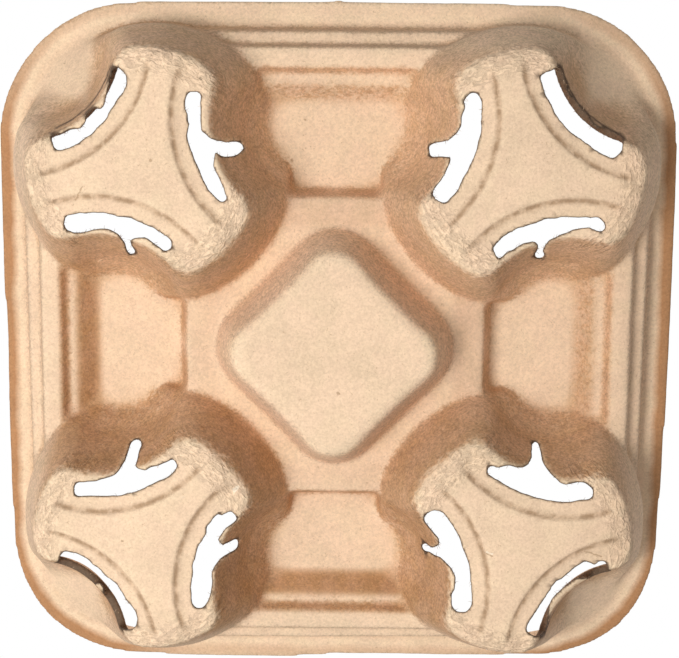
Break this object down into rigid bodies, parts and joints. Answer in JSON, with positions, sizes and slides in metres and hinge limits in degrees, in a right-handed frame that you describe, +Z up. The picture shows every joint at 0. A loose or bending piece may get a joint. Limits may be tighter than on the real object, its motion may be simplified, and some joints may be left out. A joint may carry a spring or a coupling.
{
  "type": "moulded pulp cup carrier",
  "caption": "Square moulded-pulp drinks carrier: flanged tray with slotted, lobed cup wells at its corners, raised pads between them and a centre pocket.",
  "frame": {"origin": "on the plane of the four feet, under the centre of the pocket", "axes": "+Z up out of the wells; X and Y along the sides of the square"},
  "size_m": [0.2108, 0.2108, 0.04],
  "materials": {
    "pulp": "matte, fibrous, uncoated"
  },
  "bodies": {
    "root": {"tray": "pulp"}
  },
  "joints": []
}
